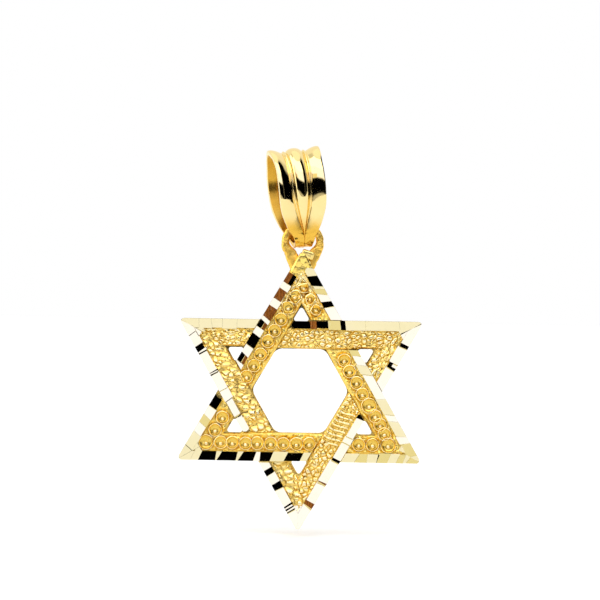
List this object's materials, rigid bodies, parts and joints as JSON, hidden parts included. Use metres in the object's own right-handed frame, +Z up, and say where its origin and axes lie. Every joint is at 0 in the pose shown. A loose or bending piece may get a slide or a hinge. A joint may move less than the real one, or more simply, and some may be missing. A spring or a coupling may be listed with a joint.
{
  "type": "pendant",
  "caption": "Yellow gold pendant: a star of interlaced triangles with diamond-cut rims, bead cups and nugget grain, hanging by its loop from a ribbed bail for a chain.",
  "frame": {"origin": "top of the space inside the bail, where a chain bears", "axes": "+Z up along the hanging direction, +X to the right seen from the front, -Y towards the front of the star"},
  "size_m": [0.0187, 0.0048, 0.0298],
  "materials": {
    "star_gold": "yellow gold, rims diamond-cut and polished, bands cast with bead cups and nugget grain",
    "bail_gold": "high-polish yellow gold"
  },
  "bodies": {
    "bail": {"bail": "bail_gold"},
    "star": {"star": "star_gold"}
  },
  "joints": [
    {"name": "star_swing", "type": "hinge", "parent": "bail", "child": "star", "pos_m": [0.00083, 0, -0.00532], "axis": [1, 0, 0], "range_deg": [-20, 15]}
  ]
}
